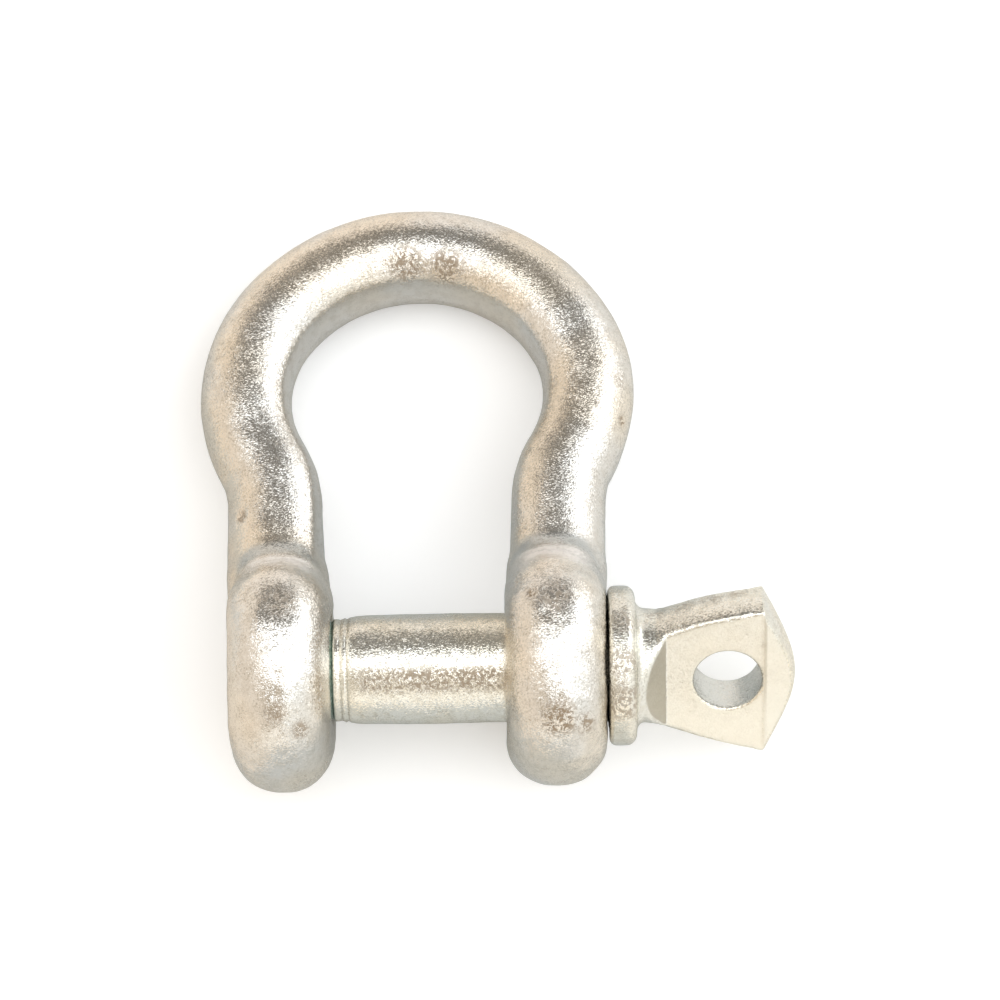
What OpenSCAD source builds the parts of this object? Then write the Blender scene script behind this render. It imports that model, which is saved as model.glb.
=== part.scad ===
// Bow shackle with a screw pin, lying flat in its frame.
// Origin: on the pin axis, midway between the ears. +X runs along the pin towards its eye,
// +Y towards the crown, +Z normal to the bow's plane. The plain ear is at +X, the tapped one at -X.

/* [Bow] */
// diameter of the forged round bar
bar_d = 9.8; // [9:0.1:10.4]
// centre line radius over the top of the crown
crown_r = 18.7; // [17.5:0.1:20]
// half the angle of the top arc
crown_half_angle = 48.5; // [40:0.5:56]
// centre line radius at the sides of the bow
side_r = 15.4; // [14.5:0.1:16.5]
// angle the side arcs carry on below the widest level
side_tuck = 29; // [24:0.5:33]
// centre line radius of the reverse bend into each leg
neck_bend_r = 10; // [9:0.1:11]
// pin axis to the top of the crown's centre line
crown_height = 46.8; // [45:0.1:49]

/* [Ears] */
// outside diameter of the round ears
ear_d = 24.5; // [23.6:0.1:25.6]
// thickness of each ear along the pin
ear_t = 10.2; // [9.8:0.1:10.6]
// rounding of the ear's rim
ear_round = 4.3; // [3:0.1:4.6]
// clear gap between the ears
jaw = 17.7; // [17:0.1:18.6]
// radial clearance round the shank in the plain ear
hole_clearance = 0.1; // [0.05:0.01:0.3]

/* [Pin] */
// diameter of the smooth shank
pin_d = 11.2; // [11.1:0.1:11.4]
// diameter of the relief groove behind the thread
relief_d = 10.1; // [9.8:0.1:10.4]
// shoulder of the shank, measured from the tapped ear's inner face
shoulder_gap = 0.35; // [0.2:0.05:0.6]
// how far the thread stops short of the tapped ear's outer face
end_inset = 0.6; // [0.2:0.1:1.5]
// gap between the collar and the plain ear
collar_gap = 0.25; // [0.1:0.05:0.5]
// diameter of the collar
collar_d = 16.3; // [15.4:0.1:17]
// thickness of the collar
collar_t = 3.2; // [2.8:0.1:3.6]

/* [Thread] */
// major diameter of the thread, drawn as a plain length
thread_d = 11.1; // [10.9:0.05:11.1]
// chamfer at the pin's tip
tip_chamfer = 0.9; // [0.5:0.1:1.2]
// radial clearance round the threaded length
thread_clearance = 0.09; // [0.06:0.01:0.1]

/* [Eye] */
// diameter of the neck between collar and eye
neck_d = 12.1; // [11.4:0.1:12.6]
// diameter of the turned blank at its widest, before its flats
eye_w = 17.4; // [16:0.1:17.6]
// thickness of the flat eye
eye_t = 5.1; // [4.8:0.1:5.6]
// diameter of the hole in the eye
eye_hole_d = 6.9; // [6.6:0.1:7.6]
// position of the hole along the pin
eye_hole_x = 31.4; // [31:0.1:31.8]
// end of the eye along the pin
eye_end_x = 38.6; // [38:0.1:38.9]
// turn of the eye's flat about the pin, from the bow's plane
eye_turn = 56; // [0:1:90]

/* [Hidden] */
$fn = 96;
turned_fn = 180; // facets of bends and turned profiles
margin = 1; // overshoot of cutting and trimming bodies
cut_span = 30; // cutting and trimming bodies that span the whole eye

// bow: centres of the arcs, then the leg from the ear's centre, tangent to the reverse bend
bar_r = bar_d / 2;
ear_x = (jaw + ear_t) / 2;
ear_outer_x = jaw / 2 + ear_t;
crown_cy = crown_height - crown_r;
side_cx = (crown_r - side_r) * sin(crown_half_angle);
side_cy = crown_cy + (crown_r - side_r) * cos(crown_half_angle);
bend_cx = side_cx + (side_r + neck_bend_r) * cos(side_tuck);
bend_cy = side_cy - (side_r + neck_bend_r) * sin(side_tuck);
leg_reach = norm([bend_cx - ear_x, bend_cy]);
lean = atan2(bend_cx - ear_x, bend_cy) - asin(neck_bend_r / leg_reach);
leg_len = sqrt(leg_reach * leg_reach - neck_bend_r * neck_bend_r);
// step between neighbouring lengths of bar, so that their surfaces never run tangent
seam = 0.02;
arc_lap = 0.6; // degrees the side arc runs on into its neighbours
leg_lap = 0.15; // length the leg runs on into the reverse bend

// pin: stations along X
shoulder_x = -jaw / 2 + shoulder_gap;
shoulder_len = 0.6;
thread_start_x = -jaw / 2 - 0.6;
thread_end_x = -ear_outer_x + end_inset;
tip_len = 1;
relief_lap = 0.3;
shank_lap = 0.5;
collar_x = ear_outer_x + collar_gap;
neck_x = collar_x + collar_t;

// head
rim_r = 1; // rolled rim of the collar
cone_t = 0.8; // coned back of the collar
cone_lap = 0.1;
dome_r = 12.6; // domed end of the eye
// outline of neck and eye blank: radius, distance from the collar's ear side
blank_outline = [
    [0, collar_t - 0.5], [neck_d / 2, collar_t - 0.5], [neck_d / 2, 5.2],
    [eye_w * 0.426, 8.8], [eye_w * 0.481, 12.7], [eye_w / 2, 15.8], [eye_w / 2, 19], [0, 20]
];
runout_x = neck_x + 0.9;
// run-out of the flats: distance from runout_x, half thickness
runout = [[-0.2, neck_d / 2 + 0.2], [0, neck_d / 2 - 0.6], [2.6, eye_t / 2]];

// core inside the pin
core_r = 1.5;
core_x0 = -6;
core_x1 = 18;
core_gap = 0.03;
core_end_gap = 0.1;

// stands a +Z shape along +X, starting at x
module along_x(x) {
    translate([x, 0, 0]) rotate([0, 90, 0]) children();
}

// a cylinder along +X from x0 to x1
module rod(r, x0, x1) {
    along_x(x0) cylinder(r = r, h = x1 - x0);
}

module both_sides() {
    children();
    mirror([1, 0, 0]) children();
}

// a round bar bent about a centre in the bow's plane, from angle start, through sweep degrees
module bend(centre_x, centre_y, radius, start, sweep, r = bar_r) {
    translate([centre_x, centre_y, 0]) rotate([0, 0, start])
        rotate_extrude(angle = sweep, $fn = turned_fn) translate([radius, 0]) circle(r = r, $fn = 96);
}

// the +X half of the bar below the crown: side arc, reverse bend and leg
module half_bar() {
    side_sweep = 90 - crown_half_angle + side_tuck + 2 * arc_lap;
    bend(side_cx, side_cy, side_r, -side_tuck - arc_lap, side_sweep, bar_r + seam);
    bend(bend_cx, bend_cy, neck_bend_r, 180 - side_tuck, side_tuck - lean);
    translate([ear_x, 0, 0]) rotate([0, 0, -lean]) rotate([-90, 0, 0])
        cylinder(r = bar_r + seam, h = leg_len + leg_lap);
}

// the +X ear, with a rolled rim, turned about the pin axis
module ear() {
    face_r = ear_d / 2 - ear_round;
    along_x(jaw / 2) rotate_extrude($fn = turned_fn) {
        square([face_r, ear_t]);
        translate([0, ear_round]) square([ear_d / 2, ear_t - 2 * ear_round]);
        for (y = [ear_round, ear_t - ear_round])
            translate([face_r, y]) circle(r = ear_round);
    }
}

module bow() {
    color([0.72, 0.71, 0.67]) difference() {
        union() {
            bend(0, crown_cy, crown_r, 90 - crown_half_angle, 2 * crown_half_angle);
            both_sides() {
                half_bar();
                ear();
            }
        }
        // plain hole, then tapped hole
        rod(pin_d / 2 + hole_clearance, jaw / 2 - margin, ear_outer_x + margin);
        rod(thread_d / 2 + thread_clearance, -ear_outer_x - margin, -jaw / 2 + margin);
    }
}

// collar with a rolled rim and a coned back
module collar_profile() {
    cone_y = collar_t - cone_t;
    square([collar_d / 2 - rim_r, rim_r]);
    translate([0, rim_r]) square([collar_d / 2, cone_y - rim_r + cone_lap]);
    translate([collar_d / 2 - rim_r, rim_r]) circle(r = rim_r);
    polygon([[0, cone_y], [collar_d / 2, cone_y], [neck_d / 2 + 0.1, collar_t], [0, collar_t]]);
}

// collar, neck and the blank of the eye, as one turned profile
module head_profile() {
    intersection() {
        union() {
            collar_profile();
            intersection() {
                polygon(blank_outline);
                translate([0, eye_end_x - collar_x - dome_r]) circle(r = dome_r, $fn = turned_fn);
            }
        }
        // keeps the side of the axis that is turned
        square([20, 40]);
    }
}

// slab of the eye, with sloping run-outs of its two flats into the neck
module flats() {
    translate([neck_x, -cut_span / 2, -eye_t / 2]) cube([cut_span, cut_span, eye_t]);
    translate([runout_x, 0, 0]) rotate([90, 0, 0])
        linear_extrude(height = cut_span, center = true)
            polygon(concat([for (p = runout) [p.x, -p.y]], [for (i = [2:-1:0]) runout[i]]));
}

module head() {
    intersection() {
        along_x(collar_x) rotate_extrude($fn = turned_fn) head_profile();
        union() {
            // wider than the collar, so it leaves the collar and neck round
            rod(collar_d, collar_x - margin, runout_x);
            rotate([eye_turn, 0, 0]) flats();
        }
    }
}

// shank with a chamfered shoulder, relief groove, and threaded length with a chamfered tip
module shank() {
    thread_r = thread_d / 2;
    rod(pin_d / 2, shoulder_x + shoulder_len, collar_x + shank_lap);
    along_x(shoulder_x) cylinder(r1 = relief_d / 2, r2 = pin_d / 2, h = shoulder_len);
    rod(relief_d / 2, thread_start_x - relief_lap, shoulder_x + relief_lap);
    rod(thread_r, thread_end_x + tip_len, thread_start_x);
    along_x(thread_end_x) cylinder(r1 = thread_r - tip_chamfer, r2 = thread_r, h = tip_len);
}

module screw_pin() {
    color([0.75, 0.74, 0.71]) difference() {
        union() {
            shank();
            head();
        }
        // hole through the eye
        rotate([eye_turn, 0, 0]) translate([eye_hole_x, 0, 0])
            cylinder(d = eye_hole_d, h = cut_span, center = true);
        // closed pocket round the core
        rod(core_r + core_gap, core_x0 - core_end_gap, core_x1 + core_end_gap);
    }
}

// the pin's own core material, kept as the body that carries the travel
module screw_pin_core() {
    color([0.6, 0.6, 0.6]) rod(core_r, core_x0, core_x1);
}

bow();
screw_pin();
screw_pin_core();
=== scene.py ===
"""A galvanised bow shackle with a screw pin.

The pin lies along X with its point at -X and its eye at +X. The bow rises along +Y from
the two ears, which stand either side of the origin, and Z runs through its thickness.
Shapes are signed distance fields in mm; Blender objects and materials are in metres.
"""
import math
from itertools import product

import bpy
import numpy as np
from mathutils import Matrix, Vector


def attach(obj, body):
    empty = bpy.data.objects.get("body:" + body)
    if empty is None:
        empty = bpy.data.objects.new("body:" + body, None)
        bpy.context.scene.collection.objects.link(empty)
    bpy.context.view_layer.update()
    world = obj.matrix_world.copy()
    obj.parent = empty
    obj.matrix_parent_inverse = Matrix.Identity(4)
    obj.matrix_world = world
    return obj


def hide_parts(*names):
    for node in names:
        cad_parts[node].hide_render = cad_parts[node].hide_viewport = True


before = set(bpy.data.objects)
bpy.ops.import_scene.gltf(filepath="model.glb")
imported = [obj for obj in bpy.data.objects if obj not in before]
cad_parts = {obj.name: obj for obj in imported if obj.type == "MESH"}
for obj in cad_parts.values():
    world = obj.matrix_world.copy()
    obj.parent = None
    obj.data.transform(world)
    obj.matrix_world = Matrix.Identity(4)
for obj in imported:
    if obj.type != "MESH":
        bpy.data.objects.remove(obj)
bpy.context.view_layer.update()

MM = 0.001

# ---------------------------------------------------------------- sizes of the bow, mm
JAW = 17.7                      # clear width between the ears
EAR_T, EAR_R = 10.25, 12.28
EAR_X = JAW / 2 + EAR_T / 2
BAR_R = 5.0
BAND_R = 7.9                    # curve across the band on the bar's inner side
THREAD_PITCH = 1.8143
TAP_ROOT, TAP_CREST, PLAIN_R = 4.69, 5.64, 5.74
BROKEN_EDGE = 0.55

# Centre line of half the bow: crown arc, side arc, reversed bend, straight leg
CROWN_Y = 46.8
CROWN_R, SIDE_R, BEND_R = 18.7, 15.4, 10.0
CROWN_END, BEND_START = math.radians(48.5), math.radians(29.0)
SIDE_END = math.pi / 2 + BEND_START
CROWN_C = (0.0, CROWN_Y - CROWN_R)
SIDE_C = ((CROWN_R - SIDE_R) * math.sin(CROWN_END),
          CROWN_C[1] + (CROWN_R - SIDE_R) * math.cos(CROWN_END))
BEND_C = (SIDE_C[0] + (SIDE_R + BEND_R) * math.cos(BEND_START),
          SIDE_C[1] - (SIDE_R + BEND_R) * math.sin(BEND_START))
LEG_FOOT_X = 13.95
LEAN = (math.atan2(BEND_C[0] - LEG_FOOT_X, BEND_C[1])
        - math.asin(BEND_R / math.hypot(BEND_C[0] - LEG_FOOT_X, BEND_C[1])))
LEG_TOP = (BEND_C[0] - BEND_R * math.cos(LEAN), BEND_C[1] + BEND_R * math.sin(LEAN))
LEG_LEN = math.hypot(LEG_TOP[0] - LEG_FOOT_X, LEG_TOP[1])

# Dents and pits of the bow: x, y, z, radius, depth
DENTS = [
    (-18.1, 15.6, 3.8, 0.6, 0.20), (-17.8, 16.1, 4.0, 0.45, 0.14),
    (21.4, 26.2, 2.5, 0.55, 0.16), (11.8, 3.3, 11.3, 0.45, 0.12),
    (-14.0, -6.6, 10.3, 0.8, 0.12), (16.6, -8.5, 7.8, 0.8, 0.12),
    (14.4, -7.0, 9.6, 0.5, 0.08), (-14.2, 1.6, 12.2, 0.9, 0.08),
    (13.1, 1.2, 12.2, 0.8, 0.08),
]

# ---------------------------------------------------------------- sizes of the pin, mm
POINT_X, POINT_R = -18.45, 4.55
THREAD_END, THREAD_ROOT, THREAD_CREST = -8.9, 4.60, 5.52
RELIEF_R, RELIEF_START, RELIEF_END = 4.98, -9.9, -7.6
LIP_X, LIP_R, LIP_HALF = -8.33, 5.22, 0.34
SHANK_START, SHANK_END = -8.0, 20.5
COLLAR_X, COLLAR_R, COLLAR_HALF = 20.72, 8.17, 1.42
STEP_X, STEP_R, STEP_HALF = 21.55, 6.28, 0.65
FLATS_X = 25.15                 # where the run-out ends and the flats begin
HOLE_X, HOLE_DROP, HOLE_R = 31.4, 0.30, 3.46
TURN = math.radians(56.0)       # turn of the blade about the pin

# Outlines along the pin: x, then the radius, or for the flats the half thickness
SHANK = np.array([
    (-8.05, 5.05), (-7.8, 5.19), (-7.45, 5.33), (-7.25, 5.15), (-7.05, 5.34),
    (-6.8, 5.41), (-6.4, 5.48), (-6.0, 5.52), (-5.2, 5.555), (-3.0, 5.585),
    (0.0, 5.60), (6.0, 5.585), (9.0, 5.57), (20.0, 5.57)]).T
NECK = np.array([
    (19.0, 5.72), (24.2, 5.86), (25.2, 6.27), (26.4, 6.66), (28.2, 7.30),
    (30.2, 7.86), (32.3, 8.36), (34.0, 8.70), (35.4, 8.94), (40.0, 9.4)]).T
FLATS = np.array([
    (20.0, 9.0), (22.9, 5.80), (FLATS_X, 2.72), (27.0, 2.68), (31.0, 2.62),
    (34.85, 2.58), (35.15, 2.68), (35.5, 2.58), (38.2, 2.05), (40.0, 1.7)]).T

CORNERS = list(product((0, 1), repeat=3))


# ---------------------------------------------------------------- field helpers
def blend_min(a, b, width):
    """Union of two fields, with a fillet of the given width."""
    h = np.maximum(width - np.abs(a - b), 0.0) / width
    return np.minimum(a, b) - h * h * width * 0.25


def blend_max(a, b, width):
    """Intersection of two fields, with a rounded edge."""
    return -blend_min(-a, -b, width)


def ramp(x, start, end):
    """Smooth 0 at start to 1 at end, which may lie below start."""
    t = np.clip((x - start) / (end - start), 0.0, 1.0)
    return t * t * (3.0 - 2.0 * t)


def round_box(u, v, half_u, half_v, corner):
    """2D box about the origin with rounded corners."""
    qu, qv = np.abs(u) - (half_u - corner), np.abs(v) - (half_v - corner)
    outside = np.hypot(np.maximum(qu, 0), np.maximum(qv, 0))
    return outside + np.minimum(np.maximum(qu, qv), 0) - corner


def lattice(index, seed):
    """Hash of integer grid points to values from -1 to 1."""
    h = (index[:, 0] * 374761393 + index[:, 1] * 668265263
         + index[:, 2] * 2147483647 + seed * 1274126177) & 0x7FFFFFFF
    h = ((h ^ (h >> 13)) * 1274126177) & 0x7FFFFFFF
    h = ((h ^ (h >> 16)) * 668265263) & 0x7FFFFFFF
    return ((h >> 7) & 0xFFFF) / 32767.5 - 1.0


def noise(points, size, seed):
    """Smooth value noise from -1 to 1 with cells of the given size in mm."""
    scaled = points / size
    index = np.floor(scaled).astype(np.int64)
    f = scaled - index
    f = f * f * f * (f * (f * 6 - 15) + 10)
    total = 0
    for corner in CORNERS:
        weight = 1
        for axis, far in enumerate(corner):
            weight = weight * (f[:, axis] if far else 1 - f[:, axis])
        total = total + weight * lattice(index + corner, seed)
    return total


def helix(x, y, z, root, crest):
    """Radius of a right-hand thread along +X."""
    phase = x / THREAD_PITCH - np.arctan2(z, y) / (2 * math.pi)
    g = np.abs(phase - np.floor(phase) - 0.5) * 2
    g = np.clip((g - 0.10) / 0.78, 0, 1)
    return root + (crest - root) * (0.5 - 0.5 * np.cos(math.pi * g))


# ---------------------------------------------------------------- the bow
def arc_coords(across, along, radius, start, end, outward):
    """Distance from an arc, offset to its outward side, and fraction of the way along it.

    Position is relative to the arc's centre; angles run from along towards across.
    """
    angle = np.arctan2(across, along)
    held = np.clip(angle, min(start, end), max(start, end))
    dist = np.hypot(across - radius * np.sin(held), along - radius * np.cos(held))
    offset = np.hypot(across, along) - radius
    offset = np.where(held == angle, offset, np.sign(offset) * dist)
    return dist, outward * offset, (held - start) / (end - start)


def leg_coords(x, y):
    """The same three values for the straight leg."""
    dir_x, dir_y = -math.sin(LEAN), -math.cos(LEAN)
    from_x, from_y = x - LEG_TOP[0], y - LEG_TOP[1]
    held = np.clip(from_x * dir_x + from_y * dir_y, 0, LEG_LEN)
    offset = from_x * -dir_y + from_y * dir_x
    foot_x, foot_y = LEG_TOP[0] + held * dir_x, LEG_TOP[1] + held * dir_y
    return np.hypot(x - foot_x, y - foot_y), offset, held / LEG_LEN


def bar_coords(x, y):
    """Offset from the bar's centre line, outward positive, and a station along it.

    Stations count from 0 at the crown's middle, 1 side, 2 bend, 3 leg, to 4 at its foot.
    """
    parts = [
        arc_coords(x - CROWN_C[0], y - CROWN_C[1], CROWN_R, 0.0, CROWN_END, 1),
        arc_coords(x - SIDE_C[0], y - SIDE_C[1], SIDE_R, CROWN_END, SIDE_END, 1),
        arc_coords(y - BEND_C[1], BEND_C[0] - x, BEND_R, BEND_START, LEAN, -1),
        leg_coords(x, y),
    ]
    nearest, offset, station = parts[0]
    for i, (dist, part_offset, fraction) in enumerate(parts[1:], 1):
        nearer = dist < nearest
        nearest = np.where(nearer, dist, nearest)
        offset = np.where(nearer, part_offset, offset)
        station = np.where(nearer, i + fraction, station)
    return offset, station


def bow_parts(points):
    """The bar and the ear as two fields."""
    signed_x, y, z = points.T
    x = np.abs(signed_x)
    right = signed_x > 0
    # the right leg stands a little closer in than the left
    lean_in = 0.32 * ramp(y, 3.0, 10.0) * (1 - ramp(y, 21.0, 33.0)) * right
    offset, station = bar_coords(x + lean_in, y)
    swell = np.where(signed_x < 0, 0.20, 0.10)
    radius = BAR_R + 0.13 * ramp(station, 1.7, 2.6) + swell * ramp(station, 2.9, 3.5)
    shift = -0.10 - 0.12 * ramp(station, 0.3, 1.2) + 0.14 * ramp(station, 1.9, 2.8)
    u = offset - shift
    bar = np.hypot(u, z) - radius
    # slightly domed band along the bar's inner side
    inner = 4.5 + 0.16 * ramp(station, 1.9, 2.8)
    band = np.hypot(u - (BAND_R - inner), z) - BAND_R
    bar = blend_max(bar, np.where(u < 1.0, band, -9.0), 0.14)
    bar = blend_max(bar, 3.0 - y, 1.5)
    rho = np.hypot(y, z)
    top = ramp(y / np.maximum(rho, 1e-6), 0.45, 0.85)
    # a little square: a full shoulder and a full lower corner with a flatter face between
    angle = np.arctan2(y, np.abs(z))
    full = (0.50 * np.exp(-((angle - 0.40) / 0.35) ** 2)
            + 0.36 * np.exp(-((angle + 0.86) / 0.29) ** 2))
    ear_r = full + np.where(right, EAR_R - 0.24 + 0.25 * top, EAR_R - 0.04 - 0.45 * top)
    return bar, round_box(x - EAR_X, rho, EAR_T / 2, ear_r, 4.75)


def bow_field(points):
    signed_x, y, z = points.T
    x, rho = np.abs(signed_x), np.hypot(y, z)
    bar, ear = bow_parts(points)
    # broad hollow where the leg runs into the ear, but flat ear faces around the bores
    body = blend_min(bar, ear, 0.4 + 2.0 * ramp(rho, 7.8, 11.4))
    # bores: tapped on the left, plain on the right, both with a broken edge
    depth = np.minimum(x - JAW / 2, JAW / 2 + EAR_T - x)
    edge = np.clip(BROKEN_EDGE - depth, 0, 1.2)
    thread = helix(signed_x, y, z, TAP_ROOT, TAP_CREST)
    tapped = (rho - np.maximum(thread, TAP_ROOT + 1.7 * edge)) * 0.72
    plain = rho - PLAIN_R - edge
    return blend_max(body, -np.where(signed_x < 0, tapped, plain), 0.12)


# ---------------------------------------------------------------- the screw pin
def thread_field(x, y, z, rho):
    """Thread with a chamfered point and a run-out towards the relief."""
    crest = THREAD_CREST - 0.55 * ramp(x, -9.3, -8.8)
    thread = (rho - helix(x, y, z, THREAD_ROOT, crest)) * 0.72
    thread = blend_max(thread, (rho - (POINT_R + (x - POINT_X))) * 0.7071, 0.2)
    return blend_max(thread, np.maximum(POINT_X - x, x - THREAD_END), 0.15)


def collar_field(x, rho):
    """Collar with a rounded rim and a coned back, and a small step into the neck."""
    collar = round_box(x - COLLAR_X, rho, COLLAR_HALF, COLLAR_R, 0.72)
    cone = (rho - (COLLAR_R - (x - 21.6) * 1.15)) * 0.66
    collar = blend_max(collar, cone, 0.5)
    return blend_min(collar, round_box(x - STEP_X, rho, STEP_HALF, STEP_R, 0.18), 0.2)


def blade_field(x, y, z):
    """Neck and eye: one round blank with a domed end, cut by two flats and pierced."""
    across = -y * math.sin(TURN) + z * math.cos(TURN)
    along = y * math.cos(TURN) + z * math.sin(TURN)
    # the blade sits a touch low of the axis
    drop = along + 0.32 * ramp(x, 22.3, 25.6) + 0.36 * ramp(x, 26.0, 36.0)
    rho = np.hypot(across, drop)
    neck = blend_max((rho - np.interp(x, *NECK)) * 0.95, 19.6 - x, 0.1)
    dome = (x - 40.25 + np.sqrt(3.61 + 0.300 * rho * rho)) * 0.88
    blank = blend_max(neck, dome, 0.18)
    above = np.abs(across) - np.interp(x, *FLATS)
    flats = np.where(x < FLATS_X, 0.59, 1.0) * above
    blade = blend_max(blank, flats, np.where(x < 34.2, 0.55, 0.30))
    hole = np.hypot(x - HOLE_X, along + HOLE_DROP) - HOLE_R
    hole = hole - 0.5 * np.clip(above + 0.25, 0, 0.3)
    return blend_max(blade, -hole, 0.22)


def pin_field(points):
    x, y, z = points.T
    rho = np.hypot(y, z)
    ends = np.maximum(SHANK_START - x, x - SHANK_END)
    pin = blend_max((rho - np.interp(x, *SHANK)) * 0.93, ends, 0.15)
    lip = round_box(x - LIP_X, rho, LIP_HALF, LIP_R, 0.18)
    relief = np.maximum(rho - RELIEF_R, np.maximum(RELIEF_START - x, x - RELIEF_END))
    for part in (lip, relief, thread_field(x, y, z, rho)):
        pin = np.minimum(pin, part)
    pin = blend_min(pin, collar_field(x, rho), 0.1)
    return blend_min(pin, blade_field(x, y, z), 0.9)


# ---------------------------------------------------------------- surface from a field
def grid_points(counts):
    axes = [np.arange(count) for count in counts]
    return np.stack(np.meshgrid(*axes, indexing="ij"), -1).reshape(-1, 3)


def sample_grid(field, low, high, cell):
    """Field values on a grid, worked out only in the blocks near the surface."""
    block, mid_chunk, block_chunk = 8, 200000, 400
    counts = np.ceil((np.array(high) - low) / cell).astype(int) + 1
    block_counts = np.ceil(counts / block).astype(int)
    values = np.ones(block_counts * block + 1, np.float32)
    blocks = grid_points(block_counts)
    mid = low + (blocks * block + block / 2) * cell
    at_mid = np.concatenate([field(mid[i:i + mid_chunk])
                             for i in range(0, len(mid), mid_chunk)])
    # half a block's diagonal, with a margin as the fields aren't true distances
    reach = block * cell * 0.5 * math.sqrt(3) * 1.45 + 0.25
    for i, j, k in blocks[at_mid <= -reach] * block:
        values[i:i + block + 1, j:j + block + 1, k:k + block + 1] = -1
    inner = grid_points([block + 1] * 3)
    active = blocks[np.abs(at_mid) < reach]
    for start in range(0, len(active), block_chunk):
        index = active[start:start + block_chunk, None, :] * block + inner[None]
        index = index.reshape(-1, 3)
        values[tuple(index.T)] = field(low + index * cell)
    return values


def dual_mesh(values):
    """One vertex per crossed cell, at the mean of its edge crossings, and the quads."""
    inside = values < 0
    shape = np.array(inside.shape) - 1
    total = np.zeros(shape, np.int8)
    for corner in CORNERS:
        total += inside[tuple(slice(d, d + n) for d, n in zip(corner, shape))]
    cells = np.argwhere((total > 0) & (total < 8))
    ids = np.full(total.shape, -1, np.int32)
    ids[tuple(cells.T)] = np.arange(len(cells))

    sums = np.zeros((len(cells), 3))
    hits = np.zeros(len(cells))
    for axis in range(3):
        others = [a for a in range(3) if a != axis]
        for shift in product((0, 1), repeat=2):
            near = cells.copy()
            near[:, others] += shift
            far = near.copy()
            far[:, axis] += 1
            a, b = values[tuple(near.T)], values[tuple(far.T)]
            crossed = (a < 0) != (b < 0)
            crossing = near.astype(float)
            crossing[:, axis] += np.where(crossed, a / np.where(crossed, a - b, 1), 0)
            sums += crossing * crossed[:, None]
            hits += crossed

    quads = []
    for axis in range(3):
        others = [(axis + 1) % 3, (axis + 2) % 3]
        edges = np.argwhere(np.diff(inside, axis=axis))
        side = edges[:, others]
        edges = edges[((side > 0) & (side < shape[others])).all(axis=1)]
        corners = []
        for shift in ((1, 1), (0, 1), (0, 0), (1, 0)):
            cell = edges.copy()
            cell[:, others] -= shift
            corners.append(ids[tuple(cell.T)])
        faces = np.stack(corners, 1)
        flip = ~inside[tuple(edges.T)]
        faces[flip] = faces[flip][:, ::-1]
        quads.append(faces)
    return sums / hits[:, None], np.concatenate(quads)


def gradient(field, points):
    h = 0.01
    grad = np.zeros_like(points)
    for axis in range(3):
        ahead, behind = points.copy(), points.copy()
        ahead[:, axis] += h
        behind[:, axis] -= h
        grad[:, axis] = (field(ahead) - field(behind)) / (2 * h)
    return grad


def normals(field, points):
    grad = gradient(field, points)
    return grad / np.maximum(np.linalg.norm(grad, axis=1, keepdims=True), 1e-9)


def pull(field, points, limit):
    """Move points onto the surface, by no more than limit mm."""
    value = field(points)
    grad = gradient(field, points)
    move = (value / np.maximum((grad * grad).sum(1), 0.05))[:, None] * grad
    length = np.linalg.norm(move, axis=1, keepdims=True)
    return points - move * np.minimum(1, limit / np.maximum(length, 1e-9))


def surface(field, low, high, cell):
    """Evened-out quad mesh of field = 0, with its points on the surface."""
    low = np.array(low, float)
    verts, faces = dual_mesh(sample_grid(field, low, high, cell))
    verts = low + verts * cell
    edges = np.concatenate([faces[:, [i, (i + 1) % 4]] for i in range(4)])
    edges.sort(axis=1)
    edges = np.unique(edges, axis=0)
    a, b = edges.T
    degree = np.bincount(edges.ravel(), minlength=len(verts))[:, None]
    for _ in range(2):
        verts = pull(field, verts, 0.6 * cell)
    for _ in range(3):
        near = np.zeros_like(verts)
        for k in range(3):
            near[:, k] = (np.bincount(a, verts[b, k], len(verts))
                          + np.bincount(b, verts[a, k], len(verts)))
        verts = verts + 0.5 * (near / degree - verts)
        verts = pull(field, verts, 0.5 * cell)
    return pull(field, verts, 0.5 * cell), faces


def mesh_object(name, verts, faces):
    mesh = bpy.data.meshes.new(name)
    mesh.vertices.add(len(verts))
    mesh.vertices.foreach_set("co", (verts * MM).astype(np.float32).ravel())
    mesh.loops.add(faces.size)
    mesh.loops.foreach_set("vertex_index", faces.astype(np.int32).ravel())
    mesh.polygons.add(len(faces))
    mesh.polygons.foreach_set("loop_start", np.arange(0, faces.size, 4, dtype=np.int32))
    mesh.polygons.foreach_set("use_smooth", np.ones(len(faces), bool))
    mesh.update(calc_edges=True)
    mesh.validate()
    return link_object(name, mesh)


def link_object(name, data):
    obj = bpy.data.objects.new(name, data)
    bpy.context.scene.collection.objects.link(obj)
    return obj


def forged(points, seed):
    """Small hills and hollows of a forged, dipped surface, mm along the normal."""
    return (0.065 * noise(points, 4.2, seed) + 0.026 * noise(points, 1.7, seed + 1)
            + 0.008 * noise(points, 0.75, seed + 2))


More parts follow.
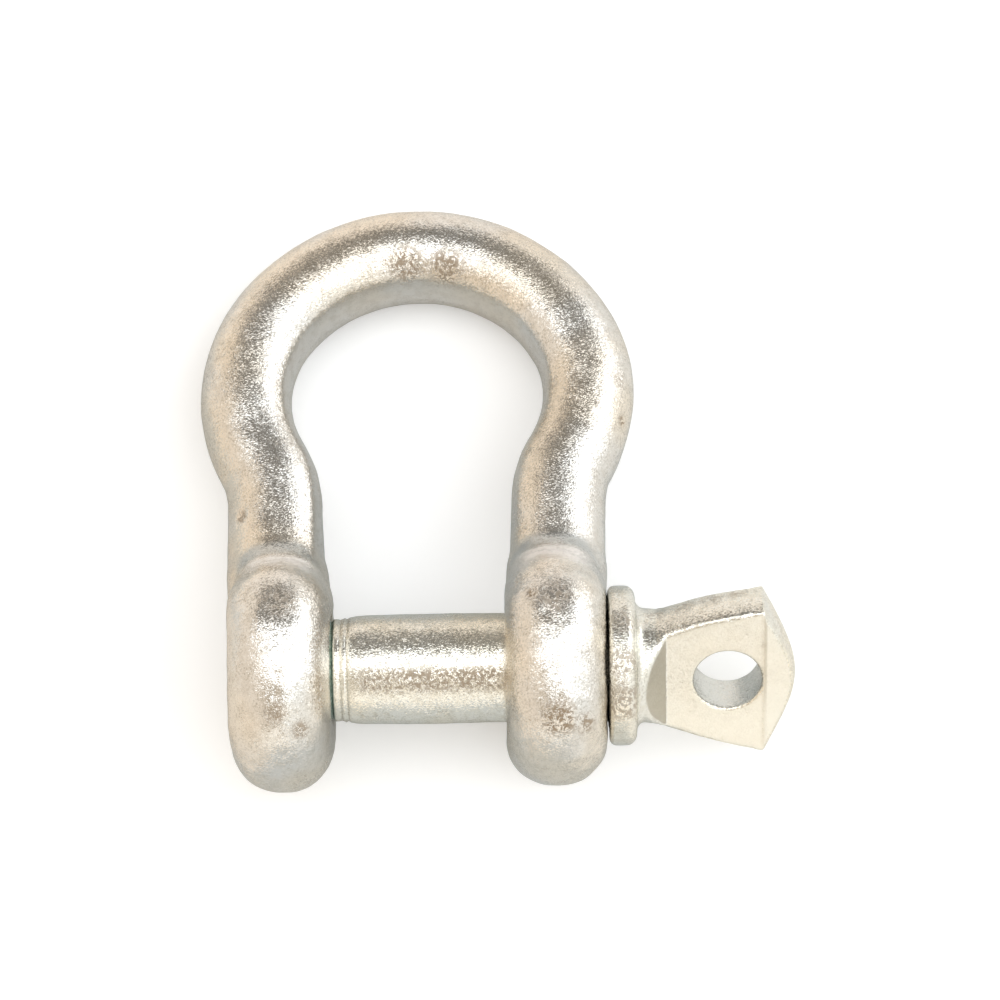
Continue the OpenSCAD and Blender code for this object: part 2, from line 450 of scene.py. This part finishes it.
def build_bow():
    cell = 0.24
    verts, faces = surface(bow_field, (-24.2, -13.6, -13.6), (24.2, 53.2, 13.6), cell)
    normal = normals(bow_field, verts)
    rho = np.hypot(verts[:, 1], verts[:, 2])
    outside_bores = 1 - ramp(6.6 - rho, 0.0, 0.7)
    ears = 1 + 0.9 * (1 - ramp(verts[:, 1], 9.0, 14.0))
    verts = verts + normal * (forged(verts, 11) * outside_bores * ears)[:, None]
    for *centre, radius, depth in DENTS:
        d2 = ((verts - np.array(centre)) ** 2).sum(1)
        verts = verts - normal * (depth * np.exp(-d2 / (radius * radius)))[:, None]
    bow = mesh_object("forged_bow", verts, faces)

    # masks for painted light: painted shade in the hollow between bar and ear, and a painted
    # highlight on the ear's shoulder below
    bar, ear = bow_parts(verts)
    near_ear = ramp(verts[:, 1], 5.0, 7.5) * ramp(np.abs(verts[:, 2]), 3.4, 5.0)
    groove = 1 - ramp(np.abs(bar - ear + 0.35), 0.35, 1.9)
    groove = groove * (1 - ramp(np.maximum(bar, ear), 1.2, 2.2)) * near_ear
    rim = ramp(bar - ear, 0.3, 1.7) * (1 - ramp(bar - ear, 2.6, 5.6))
    rim = rim * (1 - ramp(ear, 0.3, 0.9)) * near_ear
    rim = rim * (1 - ramp(np.abs(np.abs(verts[:, 0]) - EAR_X), 2.2, 4.4))
    for name, mask in (("groove", groove), ("rim", rim)):
        attribute = bow.data.attributes.new(name, "FLOAT", "POINT")
        attribute.data.foreach_set("value", mask.astype(np.float32))
    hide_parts("bow")
    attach(bow, "shackle_bow")
    return bow


def build_pin():
    cell = 0.17
    verts, faces = surface(pin_field, (-19.4, -9.6, -9.6), (39.8, 9.6, 9.6), cell)
    normal = normals(pin_field, verts)
    # no relief on the thread, and less on the collar's bearing face
    x = verts[:, 0]
    bearing = ramp(x, 19.0, 19.4) * (1 - ramp(x, 19.5, 19.8))
    rough = 0.55 * ramp(x, -7.9, -6.4) * (1 - 0.6 * bearing)
    verts = verts + normal * (forged(verts, 31) * rough)[:, None]
    pin = mesh_object("forged_screw_pin", verts, faces)
    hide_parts("screw_pin", "screw_pin_core")
    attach(pin, "pin")
    return pin


# ---------------------------------------------------------------- shader nodes
class Net:
    """Short ways to add nodes to a tree; each returns an output socket."""

    def __init__(self, tree):
        self.tree = tree

    def node(self, kind):
        return self.tree.nodes.new(kind)

    def put(self, socket, value):
        if isinstance(value, bpy.types.NodeSocket):
            self.tree.links.new(value, socket)
        elif value is not None:
            socket.default_value = value

    def math(self, op, a, b=None, clamp=False):
        node = self.node("ShaderNodeMath")
        node.operation = op
        node.use_clamp = clamp
        self.put(node.inputs[0], a)
        self.put(node.inputs[1], b)
        return node.outputs[0]

    def mul(self, a, b):
        return self.math("MULTIPLY", a, b)

    def add(self, a, b):
        return self.math("ADD", a, b)

    def vmath(self, op, a, b=None):
        node = self.node("ShaderNodeVectorMath")
        node.operation = op
        self.put(node.inputs[0], a)
        self.put(node.inputs[1], b)
        return node.outputs["Value" if op in ("DOT_PRODUCT", "DISTANCE") else "Vector"]

    def split(self, vector):
        node = self.node("ShaderNodeSeparateXYZ")
        self.put(node.inputs[0], vector)
        return node.outputs

    def attribute(self, name):
        node = self.node("ShaderNodeAttribute")
        node.attribute_name = name
        return node.outputs["Fac"]

    def noise(self, vector, scale, detail, rough, distortion=0.0):
        node = self.node("ShaderNodeTexNoise")
        self.put(node.inputs["Vector"], vector)
        node.inputs["Scale"].default_value = scale
        node.inputs["Detail"].default_value = detail
        node.inputs["Roughness"].default_value = rough
        node.inputs["Distortion"].default_value = distortion
        return node.outputs[0]

    def fade(self, value, start, end, low=0.0, high=1.0):
        """Smooth step from low at start to high at end."""
        node = self.node("ShaderNodeMapRange")
        node.interpolation_type = "SMOOTHSTEP"
        self.put(node.inputs["Value"], value)
        node.inputs["From Min"].default_value = start
        node.inputs["From Max"].default_value = end
        node.inputs["To Min"].default_value = low
        node.inputs["To Max"].default_value = high
        return node.outputs[0]

    def window(self, value, rise, fall):
        """1 between two fades, each given as where it is 0 and where it is 1."""
        return self.mul(self.fade(value, *rise), self.fade(value, *fall))

    def mix(self, factor, under, over):
        node = self.node("ShaderNodeMix")
        node.data_type = "RGBA"
        self.put(node.inputs[0], factor)
        for socket, colour in ((node.inputs[6], under), (node.inputs[7], over)):
            if isinstance(colour, tuple):
                colour = (*colour, 1.0)
            self.put(socket, colour)
        return node.outputs[2]

    def cover(self, under, over, mask, strength):
        return self.mix(self.mul(mask, strength), under, over)


# ---------------------------------------------------------------- materials
# Stained patches, mm: x, y, z, radius, strength
BOW_STAINS = [
    (-13.4, 2.6, 12.0, 2.4, 0.55), (-14.0, -8.1, 9.4, 1.5, 0.8), (-11.4, -9.6, 7.9, 1.5, 0.8),
    (14.2, -9.0, 8.6, 2.7, 1.0), (17.0, -9.3, 7.6, 1.7, 0.9), (11.8, 3.3, 11.3, 0.9, 1.0),
    (14.2, 2.8, 11.9, 2.2, 0.6), (-1.0, 43.9, 4.2, 2.6, 0.9), (3.1, 43.6, 4.1, 2.6, 0.9),
    (-18.1, 15.6, 3.8, 1.0, 0.8), (21.4, 26.2, 2.5, 0.9, 1.0), (20.6, 30.5, 3.0, 1.6, 0.5),
    (9.6, -1.5, -11.8, 2.0, 0.7), (-15.0, 4.0, -11.5, 2.4, 0.7), (-6.0, 45.5, -3.9, 2.4, 0.8),
]
PIN_STAINS = [
    (20.8, 1.6, 8.0, 1.9, 0.6), (20.7, -2.6, 7.6, 2.4, 0.6), (20.7, -6.2, 5.4, 3.2, 0.7),
    (34.9, 0.4, 4.5, 0.8, 0.6), (24.0, 3.8, 4.8, 1.4, 0.45), (26.8, 4.6, 5.4, 1.6, 0.5),
    (29.6, 5.4, 6.0, 1.9, 0.6), (32.4, 6.0, 6.3, 1.8, 0.6), (34.3, 6.2, 6.6, 1.2, 0.6),
]
STAIN_CORE = 0.35               # part of a patch's radius at full strength
PIT_BROWN, STAIN_TAN = (0.19, 0.13, 0.075), (0.70, 0.58, 0.44)
HOLLOW_SHADE_GREY, HIGHLIGHT_WHITE = (0.50, 0.535, 0.555), (0.95, 0.92, 0.905)
THREAD_GREY, RELIEF_SHADE_GREEN = (0.56, 0.60, 0.575), (0.25, 0.36, 0.33)
FLAT_CREAM, FACET_DULL = (0.85, 0.815, 0.735), (0.50, 0.47, 0.40)
CREASE_SHADE_BROWN, END_PAINTED_LIGHT = (0.42, 0.37, 0.29), (0.94, 0.91, 0.83)
HOLE_SHADE_GREY, LOW_FLAT_LIGHT = (0.70, 0.73, 0.74), (0.95, 0.925, 0.84)


def pin_streak(k, coords):
    """A brown line along the shank, on its upper side."""
    x, y, z = k.split(coords["Object"])
    off_line = k.math("ABSOLUTE", k.add(y, 0.0030))
    mask = k.fade(off_line, start=0.00135, end=0.00055)
    mask = k.mul(mask, k.fade(z, start=0.0032, end=0.0040))
    mask = k.mul(mask, k.window(x, rise=(-0.0064, -0.0052), fall=(0.0092, 0.0078)))
    return k.mul(mask, 0.85)


def pin_tint(k, coords, col, rough):
    """Colours of the thread, relief, flats, run-out facets and hole, with painted shade at
    the relief, crease and hole and painted light on the flats.
    """
    x, y, z = k.split(coords["Object"])
    normal_x = k.split(coords["Normal"])[0]
    thread = k.fade(x, start=-0.00845, end=-0.00865)
    col = k.cover(col, THREAD_GREY, thread, strength=0.65)
    # relief: a green finish tint, darkened as painted shade of the narrow gap at the ear's
    # face
    relief = k.mul(thread, k.fade(x, start=-0.0101, end=-0.0098))
    col = k.cover(col, RELIEF_SHADE_GREEN, relief, strength=0.85)

    # matte cream flats
    across = (0.0, -math.sin(TURN), math.cos(TURN))
    facing = k.math("ABSOLUTE", k.vmath("DOT_PRODUCT", coords["Normal"], across))
    flat = k.mul(k.fade(facing, start=0.93, end=0.985), k.fade(x, start=0.0249, end=0.0253))
    col = k.cover(col, FLAT_CREAM, flat, strength=0.60)
    rough = k.add(rough, k.mul(flat, 0.20))
    # dull facets where the flats run out
    facet = k.mul(k.fade(normal_x, start=0.55, end=0.72),
                  k.window(x, rise=(0.02285, 0.0231), fall=(0.0256, 0.0252)))
    col = k.cover(col, FACET_DULL, facet, strength=0.85)
    rough = k.add(rough, k.mul(facet, 0.25))

    # painted shade: a faint dark line along the crease across the flat, and painted light: a
    # lighter end beyond it
    off_line = k.math("ABSOLUTE", k.math("SUBTRACT", x, 0.0352))
    line = k.mul(flat, k.fade(off_line, start=0.00022, end=0.00008))
    col = k.cover(col, CREASE_SHADE_BROWN, line, strength=0.42)
    end = k.mul(flat, k.fade(x, start=0.0353, end=0.0356))
    col = k.cover(col, END_PAINTED_LIGHT, end, strength=0.35)

    # painted shade: cool grey on the wall of the hole
    along = k.add(k.mul(y, math.cos(TURN)), k.mul(z, math.sin(TURN)))
    hole_x = k.math("SUBTRACT", x, HOLE_X * MM)
    hole_t = k.add(along, HOLE_DROP * MM)
    hole_r = k.math("SQRT", k.add(k.mul(hole_x, hole_x), k.mul(hole_t, hole_t)))
    wall = k.mul(k.fade(hole_r, start=0.00375, end=0.00362),
                 k.fade(facing, start=0.6, end=0.35))
    col = k.cover(col, HOLE_SHADE_GREY, wall, strength=0.75)
    # painted light: the flats lighter towards their low side
    painted_light_low_flat = k.mul(flat, k.fade(along, start=0.0005, end=-0.0060))
    return k.cover(col, LOW_FLAT_LIGHT, painted_light_low_flat, strength=0.70), rough


def stain_mask(k, coords, stains, streak):
    """Union of the soft round patches and the streak, if any."""
    masks = []
    for x, y, z, radius, strength in stains:
        away = k.vmath("DISTANCE", coords["Object"], (x * MM, y * MM, z * MM))
        spot = k.fade(away, start=radius * MM, end=radius * STAIN_CORE * MM)
        masks.append(k.mul(spot, strength))
    if streak:
        masks.append(streak(k, coords))
    patch = masks[0]
    for mask in masks[1:]:
        patch = k.math("MAXIMUM", patch, mask)
    return patch


def zinc_normal(k, pos, pits):
    """Fine grain with sunken pits, each crystal leaning its own way."""
    coarse = k.noise(pos, scale=1500.0, detail=3.0, rough=0.6)
    grain = k.noise(pos, scale=6200.0, detail=1.5, rough=0.6)
    height = k.add(k.mul(grain, 0.95), k.mul(coarse, 0.14))
    height = k.math("SUBTRACT", height, k.mul(pits, 0.8))
    bump = k.node("ShaderNodeBump")
    bump.inputs["Strength"].default_value = 1.0
    bump.inputs["Distance"].default_value = 0.000050
    k.put(bump.inputs["Height"], height)
    crystals = k.node("ShaderNodeTexVoronoi")
    crystals.inputs["Scale"].default_value = 5600.0
    k.put(crystals.inputs["Vector"], pos)
    lean = k.vmath("SUBTRACT", crystals.outputs["Color"], (0.5, 0.5, 0.5))
    lean = k.vmath("MULTIPLY", lean, (0.20, 0.20, 0.20))
    return k.vmath("NORMALIZE", k.vmath("ADD", bump.outputs[0], lean))


def galvanised(name, base, cream, stain, seed, stains,
               band=None, hollows=False, tint=None, streak=None):
    """Dipped zinc: band is the point the bar's smooth inner side faces."""
    mat = bpy.data.materials.new(name)
    mat.use_nodes = True
    mat.node_tree.nodes.clear()
    k = Net(mat.node_tree)
    out = k.node("ShaderNodeOutputMaterial")
    bsdf = k.node("ShaderNodeBsdfPrincipled")
    k.put(out.inputs[0], bsdf.outputs[0])
    coords = k.node("ShaderNodeTexCoord").outputs
    pos = k.vmath("ADD", coords["Object"], (seed * 0.013, seed * 0.007, seed * 0.003))

    # broad warm and cool drifts, then fine tarnish, sparse pits and flecks
    drift = k.fade(k.noise(pos, scale=95.0, detail=2.0, rough=0.5), start=0.40, end=0.62)
    fine = k.fade(k.noise(pos, scale=900.0, detail=4.0, rough=0.65), start=0.42, end=0.64)
    spots = k.mul(
        k.fade(k.noise(pos, scale=2100.0, detail=2.0, rough=0.5), start=0.60, end=0.70),
        k.fade(k.noise(pos, scale=210.0, detail=2.0, rough=0.5), start=0.52, end=0.66))
    col = k.mix(drift, base, cream)
    col = k.cover(col, stain, fine, strength=0.35)
    fleck = k.fade(k.noise(pos, scale=4300.0, detail=2.0, rough=0.6), start=0.50, end=0.62)
    patchy = k.fade(k.noise(pos, scale=420.0, detail=2.0, rough=0.5),
                    start=0.36, end=0.60, low=0.35, high=1.0)
    if band:
        # the inner band is smooth bare zinc, with hardly a fleck on it
        toward = k.vmath("NORMALIZE", k.vmath("SUBTRACT", band, coords["Object"]))
        inward = k.vmath("DOT_PRODUCT", toward, coords["Normal"])
        fleck = k.mul(fleck, k.fade(inward, start=0.84, end=0.70))
        spots = k.mul(spots, k.fade(inward, start=0.84, end=0.70))
    fleck_col = (stain[0] * 0.60, stain[1] * 0.58, stain[2] * 0.54)
    col = k.cover(col, fleck_col, k.mul(fleck, patchy), strength=0.40)

    # brown veins and blots inside a few soft patches
    patch = stain_mask(k, coords, stains, streak)
    vein = k.noise(pos, scale=620.0, detail=3.0, rough=0.6, distortion=0.8)
    vein = k.math("ABSOLUTE", k.math("SUBTRACT", vein, 0.5))
    vein = k.fade(vein, start=0.026, end=0.006)
    blot = k.fade(k.noise(pos, scale=2600.0, detail=2.0, rough=0.6), start=0.50, end=0.57)
    brown = k.mul(patch, k.math("MAXIMUM", vein, blot))
    col = k.cover(col, PIT_BROWN, brown, strength=0.95)
    col = k.cover(col, STAIN_TAN, patch, strength=0.22)
    painted_highlight = 0.0
    if hollows:
        # painted shade: cool grey in the hollow between bar and ear
        col = k.cover(col, HOLLOW_SHADE_GREY, k.attribute("groove"), strength=0.74)
        # painted highlight: a pale white crescent on the shoulder below the hollow
        painted_highlight = k.mul(k.attribute("rim"),
                      k.fade(k.noise(pos, scale=700.0, detail=3.0, rough=0.6),
                             start=0.34, end=0.54, low=0.75, high=1.0))
        col = k.cover(col, HIGHLIGHT_WHITE, painted_highlight, strength=0.85)

    # less metallic where the brown oxide is and under the painted highlight
    oxide_and_painted_highlight = k.math("MAXIMUM", k.mul(brown, 0.6), k.mul(painted_highlight, 0.9))
    rough = k.add(k.mul(fine, 0.10), k.mul(drift, 0.06))
    rough = k.add(rough, k.mul(k.math("MAXIMUM", spots, brown), 0.30))
    rough = k.math("ADD", rough, 0.12, clamp=True)
    if tint:
        col, rough = tint(k, coords, col, rough)
    k.put(bsdf.inputs["Metallic"], k.math("SUBTRACT", 1.0, oxide_and_painted_highlight))
    k.put(bsdf.inputs["Base Color"], col)
    k.put(bsdf.inputs["Roughness"], rough)
    pits = k.math("MAXIMUM", spots, brown)
    k.put(bsdf.inputs["Normal"], zinc_normal(k, pos, pits))
    return mat


# ---------------------------------------------------------------- camera
def build_camera():
    """Looks down from above and from the -Y side."""
    pitch, yaw, roll = math.radians(-23.5), math.radians(0.72), math.radians(-0.73)
    shift_right, shift_up, distance = 8.26608, 17.22678, 476.9214   # mm
    back = Vector((math.sin(yaw) * math.cos(pitch), math.sin(pitch),
                   math.cos(yaw) * math.cos(pitch)))
    level = Vector((math.cos(yaw), 0.0, -math.sin(yaw)))
    upright = back.cross(level)
    right = math.cos(roll) * level + math.sin(roll) * upright
    up = -math.sin(roll) * level + math.cos(roll) * upright
    data = bpy.data.cameras.new("camera")
    camera = link_object("camera", data)
    data.sensor_width = 36.0
    data.lens = 168.3252
    matrix = Matrix((right, up, back)).transposed().to_4x4()
    matrix.translation = (right * shift_right + up * shift_up + back * distance) * MM
    camera.matrix_world = matrix
    data.clip_start, data.clip_end = 0.01, 20.0
    bpy.context.scene.camera = camera


# ---------------------------------------------------------------- floor
def floor_material():
    """Near-white to the camera; other rays meet painted grey shade in front of and under the
    shackle, and cream and beige areas.
    """
    mat = bpy.data.materials.new("pale_floor")
    mat.use_nodes = True
    bsdf = mat.node_tree.nodes["Principled BSDF"]
    k = Net(mat.node_tree)
    seen = k.node("ShaderNodeLightPath").outputs["Is Camera Ray"]
    x, y, _ = k.split(k.node("ShaderNodeTexCoord").outputs["Object"])
    grey, cream = (0.58, 0.605, 0.61), (0.95, 0.89, 0.83)
    pale, beige = (0.84, 0.84, 0.825), (0.84, 0.78, 0.70)
    # painted shade: to rays other than the camera's the floor is grey in front of and under
    # the shackle, cream far behind it
    other_rays_floor = k.mix(k.fade(y, start=0.02, end=0.085), grey, cream)
    other_rays_floor = k.mix(k.fade(x, start=0.021, end=0.031), other_rays_floor, pale)
    left = k.mul(k.fade(x, start=-0.021, end=-0.031), k.fade(y, start=0.030, end=0.012))
    other_rays_floor = k.mix(left, other_rays_floor, beige)
    k.put(bsdf.inputs["Base Color"], k.mix(seen, other_rays_floor, (0.93, 0.945, 0.97)))
    bsdf.inputs["Roughness"].default_value = 0.9
    bsdf.inputs["Specular IOR Level"].default_value = 0.1
    bsdf.inputs["Emission Color"].default_value = (0.94, 0.97, 1.0, 1)
    k.put(bsdf.inputs["Emission Strength"], k.mul(seen, 0.24))
    return mat


def build_floor():
    """A tilted plane: the shackle rests on its ears and crown."""
    crown_rest, gap = 4.95, 0.06        # mm
    size, segments = 3.0, 24            # metres
    tilt = math.asin((EAR_R - crown_rest) / CROWN_Y)
    normal = Vector((0, -math.sin(tilt), math.cos(tilt)))
    along_x, along_y = Vector((1, 0, 0)), Vector((0, math.cos(tilt), math.sin(tilt)))
    verts = [tuple(along_x * (i / segments - 0.5) * size
                   + along_y * (j / segments - 0.5) * size
                   - normal * (EAR_R + gap) * MM)
             for i in range(segments + 1) for j in range(segments + 1)]
    row = segments + 1
    faces = [(a, a + row, a + row + 1, a + 1)
             for i in range(segments) for a in range(i * row, i * row + segments)]
    mesh = bpy.data.meshes.new("floor")
    mesh.from_pydata(verts, [], faces)
    floor = link_object("floor", mesh)
    mesh.materials.append(floor_material())


# ---------------------------------------------------------------- light
def build_tent():
    """A soft tent, painted by direction.

    Elevation is in degrees about X: 0 level towards -Y (front), 90 up, 180 towards +Y.
    """
    world = bpy.data.worlds.new("tent")
    bpy.context.scene.world = world
    world.use_nodes = True
    world.node_tree.nodes.clear()
    k = Net(world.node_tree)
    out = k.node("ShaderNodeOutputWorld")
    background = k.node("ShaderNodeBackground")
    k.put(out.inputs[0], background.outputs[0])
    generated = k.node("ShaderNodeTexCoord").outputs["Generated"]
    x, y, z = k.split(k.vmath("NORMALIZE", generated))
    elev = k.mul(k.math("ARCTAN2", z, k.mul(y, -1.0)), 180 / math.pi)

    # cream to the left, paler to the right
    col = k.mix(k.fade(x, start=-0.45, end=0.35), (0.84, 0.74, 0.62), (0.93, 0.92, 0.87))
    # cream card low in front
    front = k.mul(k.window(elev, rise=(-16.0, -6.0), fall=(26.0, 12.0)),
                  k.window(x, rise=(-0.60, -0.30), fall=(0.60, 0.30)))
    col = k.mix(front, col, (1.14, 1.07, 0.95))
    # brown patch higher in front, left of centre
    patch = k.mul(k.window(elev, rise=(16.0, 27.0), fall=(68.0, 56.0)),
                  k.window(x, rise=(-0.52, -0.30), fall=(0.22, 0.02)))
    col = k.cover(col, (0.43, 0.355, 0.26), patch, strength=0.88)
    # white panel: overhead on the left, lower in front by the middle, far back on the right
    lower = k.add(k.fade(x, start=-0.05, end=0.16, low=68.0, high=38.0),
                  k.fade(x, start=0.34, end=0.62, low=0.0, high=29.0))
    upper = k.fade(x, start=0.42, end=0.70, low=103.0, high=166.0)
    lower_edge, upper_edge = 9.0, 7.0   # softness in degrees
    above = k.math("MULTIPLY", k.math("SUBTRACT", elev, lower), 1 / lower_edge, clamp=True)
    below = k.math("MULTIPLY", k.math("SUBTRACT", upper, elev), 1 / upper_edge, clamp=True)
    white = k.mul(k.mul(above, below), k.window(x, rise=(-0.70, -0.48), fall=(1.01, 0.90)))
    col = k.mix(white, col, (1.85, 1.86, 1.85))
    # dark gap behind
    gap = k.mul(k.window(elev, rise=(101.0, 109.0), fall=(163.0, 146.0)),
                k.window(x, rise=(-0.66, -0.44), fall=(0.68, 0.43)))
    col = k.cover(col, (0.20, 0.188, 0.168), gap, strength=0.94)
    # bright, slightly pink far horizon
    far = k.mul(k.fade(elev, start=158.0, end=168.0), k.fade(x, start=-0.66, end=-0.46))
    col = k.mix(far, col, (1.05, 0.95, 0.86))
    # plain white to the camera
    seen = k.node("ShaderNodeLightPath").outputs["Is Camera Ray"]
    k.put(background.inputs["Color"], k.mix(seen, col, (1.0, 1.0, 1.0)))
    background.inputs["Strength"].default_value = 1.12


# ---------------------------------------------------------------- the scene
bow = build_bow()
pin = build_pin()
bow.data.materials.append(galvanised(
    "galvanised_bow", base=(0.80, 0.79, 0.77), cream=(0.84, 0.78, 0.69),
    stain=(0.60, 0.56, 0.50), seed=1, stains=BOW_STAINS,
    band=(0.0, CROWN_C[1] * MM, 0.0), hollows=True))
pin.data.materials.append(galvanised(
    "galvanised_pin", base=(0.87, 0.87, 0.83), cream=(0.91, 0.87, 0.77),
    stain=(0.71, 0.675, 0.58), seed=7, stains=PIN_STAINS, tint=pin_tint, streak=pin_streak))
build_camera()
build_floor()
build_tent()

view = bpy.context.scene.view_settings
view.view_transform = "Standard"
view.look = "None"
view.exposure = 0.0
view.gamma = 1.0
